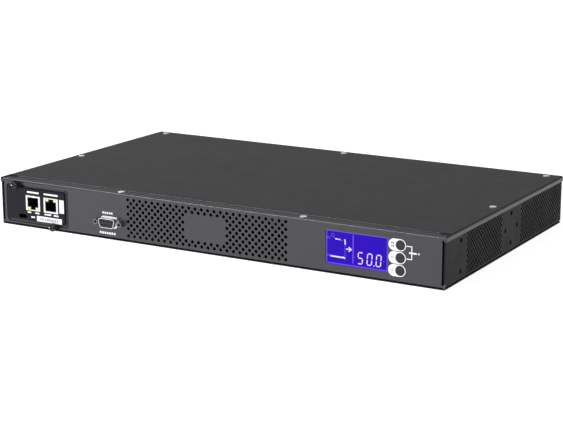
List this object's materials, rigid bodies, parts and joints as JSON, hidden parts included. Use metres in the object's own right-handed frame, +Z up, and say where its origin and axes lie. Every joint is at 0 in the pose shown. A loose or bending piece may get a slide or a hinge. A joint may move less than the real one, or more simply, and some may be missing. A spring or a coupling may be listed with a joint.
{
  "type": "rack static transfer switch",
  "caption": "One-unit rack enclosure that feeds its outlets from one of two mains sources, with network card, serial port, display and push buttons on the front.",
  "frame": {"origin": "middle of the underside", "axes": "+X to the right seen from the front, +Y from the front face to the rear, +Z up"},
  "size_m": [0.438, 0.266, 0.044],
  "materials": {
    "panel_paint": "fine satin powder coat, dark warm grey",
    "case_paint": "fine satin powder coat, near black",
    "cover_paint": "fine satin powder coat, near black",
    "steel": "bright zinc plate",
    "card_paint": "matt black paint, slightly blue",
    "board_green": "green solder mask",
    "black_plastic": "moulded black plastic",
    "button_plastic": "soft black cap",
    "white_plastic": "moulded white plastic",
    "tin": "bright tinned sheet",
    "gold": "bright plated brass",
    "lamp": "clear yellow-green light window",
    "grey_cable": "grey flat cable",
    "display_blue": "backlit blue liquid-crystal display",
    "film": "thin insulating film",
    "relay_blue": "moulded relay case",
    "bare_aluminium": "extruded aluminium",
    "core_steel": "varnished core steel",
    "copper": "copper",
    "can_sleeve": "shrink sleeve",
    "yellow_box": "moulded yellow box",
    "green_plastic": "moulded green plastic",
    "red_wire": "wire insulation",
    "black_wire": "wire insulation"
  },
  "bodies": {
    "root": {"base_pan": "case_paint", "left_side_panel": "case_paint", "right_side_panel": "case_paint", "front_panel": "panel_paint", "rear_panel": "case_paint", "top_cover": "cover_paint", "cover_screws": "steel", "base_screws": "steel", "card_plate": "card_paint", "card_board": "board_green", "card_chips": "black_plastic", "card_thumbscrews": "black_plastic", "card_cage": "panel_paint", "card_rails": "white_plastic", "card_socket": "black_plastic", "ethernet_jack_shell": "tin", "sensor_jack_shell": "tin", "ethernet_jack_insert": "black_plastic", "sensor_jack_insert": "black_plastic", "jack_contacts": "gold", "jack_lights": "lamp", "serial_port_shell": "tin", "serial_port_insert": "black_plastic", "serial_jackscrews": "steel", "serial_board": "board_green", "serial_ribbon": "grey_cable", "display_glass": "display_blue", "display_backlight": "white_plastic", "display_board": "board_green", "display_ribbon": "grey_cable", "display_standoffs": "steel", "tact_switches": "black_plastic", "main_board": "board_green", "board_standoffs": "steel", "board_screws": "steel", "insulation_sheet": "film", "transfer_relays": "relay_blue", "heat_sink": "bare_aluminium", "thyristors": "black_plastic", "transformer_cores": "core_steel", "transformer_coils": "copper", "electrolytic_capacitors": "can_sleeve", "film_capacitors": "yellow_box", "current_sensors": "green_plastic", "terminal_blocks": "green_plastic", "control_board": "board_green", "inlet_a": "black_plastic", "inlet_b": "black_plastic", "inlet_pins": "gold", "small_outlets": "black_plastic", "large_outlet": "black_plastic", "outlet_contacts": "gold", "bus_bars": "copper", "input_wires": "red_wire", "output_wires": "black_wire", "ground_screw": "gold"},
    "upper_button": {"button_upper": "button_plastic"},
    "middle_button": {"button_middle": "button_plastic"},
    "lower_button": {"button_lower": "button_plastic"}
  },
  "joints": [
    {"name": "upper_press", "type": "slide", "parent": "root", "child": "upper_button", "axis": [0, 1, 0], "range_m": [0, 0.0008], "stiffness_N_per_m": 400},
    {"name": "middle_press", "type": "slide", "parent": "root", "child": "middle_button", "axis": [0, 1, 0], "range_m": [0, 0.0008], "stiffness_N_per_m": 400},
    {"name": "lower_press", "type": "slide", "parent": "root", "child": "lower_button", "axis": [0, 1, 0], "range_m": [0, 0.0008], "stiffness_N_per_m": 400}
  ]
}
